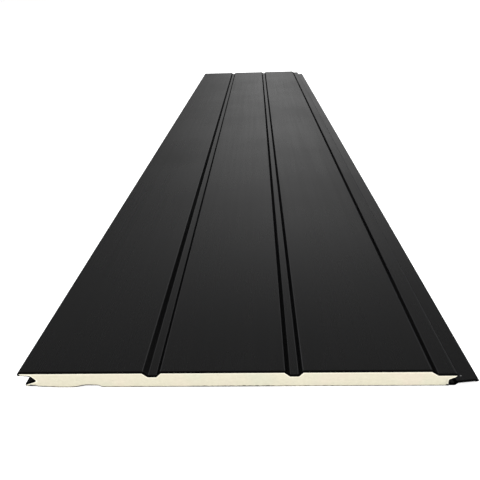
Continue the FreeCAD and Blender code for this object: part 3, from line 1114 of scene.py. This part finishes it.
class SIDING_OT_backing_foil(bpy.types.Operator):
    """Lay the foil over the foam's back and drag its sawn edges up"""

    bl_idname = "siding.backing_foil"
    bl_label = "Backing foil"

    def execute(self, context):
        size = context.scene.siding_sizes
        foil = dull_foil(context.scene.siding_finishes)
        piece = formed("foil_facing", size, back_corners(size), False, strip_tree(), {
            "Length": size.panel_length,
            "Gauge": size.foil_gauge,
            "Bend Segments": 3,
            "Longest Span": 0.0024,
            "Stations": 150,
            "Wave Depth": size.foil_wave,
            "Wave Size": 0.03,
            "Seed": 8.0,
            "Material": foil,
        })
        half = size.panel_length / 2
        middle = size.panel_width / 2
        mesh = piece.data
        inner = mesh.attributes["inner"].data
        rows = sorted({round(half - abs(vertex.co.y), 6) for vertex in mesh.vertices})
        burr = mesh.attributes.new("burr", "FLOAT", "POINT").data
        soil_and_shadow = mesh.attributes.new("soil_and_shadow", "FLOAT", "POINT").data
        for vertex in mesh.vertices:
            spot = vertex.co
            across = spot.x + middle
            spot.z += hollow_lift(size, across, spot.y + half)
            from_end = round(half - abs(spot.y), 6)
            if from_end > rows[1]:
                continue
            side = math.copysign(1.0, spot.y)
            behind = 0.00013 if inner[vertex.index].value > 0.5 else 0.0
            spot.y = side * (half - behind)
            # Painted shadow under the lower lip and along the hollow, and darker stretches, along the foil's
            # near edge.
            soil_and_shadow[vertex.index].value = edge_soil_and_shadow(spot.x) if side < 0 else 0.0
            burr[vertex.index].value = 0.5
            if from_end == rows[0]:
                spot.z += burr_height(size, across, soil_and_shadow[vertex.index].value, 17.0 + side)
                burr[vertex.index].value = 1.0
        mesh.set_sharp_from_angle(angle=math.radians(40))
        placed_on_panel(piece, "backing_foil")
        return {"FINISHED"}


class SIDING_OT_stage(bpy.types.Operator):
    """Set the floor, the light and the camera"""

    bl_idname = "siding.stage"
    bl_label = "Stage"

    def execute(self, context):
        stage = context.scene.siding_stage
        reach, drop, sides = 120.0, 0.00005, 48
        turns = [math.tau * side / sides for side in range(sides)]
        rim = [(reach * math.cos(turn), reach * math.sin(turn), -drop) for turn in turns]
        mesh = bpy.data.meshes.new("floor")
        mesh.from_pydata(rim, [], [list(range(sides))])
        mesh.materials.append(pale_floor(tuple(stage.floor)))
        floor = bpy.data.objects.new("floor", mesh)
        floor.visible_glossy = False
        context.scene.collection.objects.link(floor)

        studio_world(stage)
        sun_lamp("soft_key", stage.key, spread=30.0, turn=(48.0, 0.0, -12.0))
        sun_lamp("soft_fill", stage.fill, spread=60.0, turn=(-45.0, 0.0, 25.0))

        lens = bpy.data.cameras.new("camera")
        lens.lens = stage.lens
        lens.sensor_width = 36.0
        lens.clip_start = 0.01
        lens.clip_end = 500.0
        camera = bpy.data.objects.new("camera", lens)
        camera.location = stage.eye
        camera.rotation_euler = Euler(stage.gaze, "XYZ")
        context.scene.collection.objects.link(camera)
        context.scene.camera = camera
        context.scene.view_settings.view_transform = "Standard"
        return {"FINISHED"}


class SIDING_PT_panel(bpy.types.Panel):
    """Buttons and sizes of the siding panel"""

    bl_idname = "SIDING_PT_panel"
    bl_label = "Siding panel"
    bl_space_type = "VIEW_3D"
    bl_region_type = "UI"
    bl_category = "Siding"

    def draw(self, context):
        for title, holder, operators in (
            ("Sizes", context.scene.siding_sizes, (SIDING_OT_face_sheet, SIDING_OT_foam_core,
                                                   SIDING_OT_backing_foil)),
            ("Finishes", context.scene.siding_finishes, ()),
            ("Stage", context.scene.siding_stage, (SIDING_OT_stage,)),
        ):
            box = self.layout.box()
            box.label(text=title)
            for operator in operators:
                box.operator(operator.bl_idname)
            for name in holder.bl_rna.properties.keys():
                if name not in ("rna_type", "name"):
                    box.prop(holder, name)


GROUPS = {
    "siding_sizes": SidingSizes,
    "siding_finishes": SidingFinishes,
    "siding_stage": SidingStage,
}
CLASSES = (
    *GROUPS.values(),
    SIDING_OT_face_sheet,
    SIDING_OT_foam_core,
    SIDING_OT_backing_foil,
    SIDING_OT_stage,
    SIDING_PT_panel,
)


def register():
    """Add the panel's classes and settings to Blender."""
    for item in CLASSES:
        bpy.utils.register_class(item)
    for name, group in GROUPS.items():
        setattr(bpy.types.Scene, name, PointerProperty(type=group))


def unregister():
    """Take them out again."""
    for name in GROUPS:
        delattr(bpy.types.Scene, name)
    for item in reversed(CLASSES):
        bpy.utils.unregister_class(item)


def main():
    """Build the panel and its stage."""
    register()
    bpy.ops.siding.face_sheet()
    bpy.ops.siding.foam_core()
    bpy.ops.siding.backing_foil()
    bpy.ops.siding.stage()


if __name__ == "__main__":
    main()
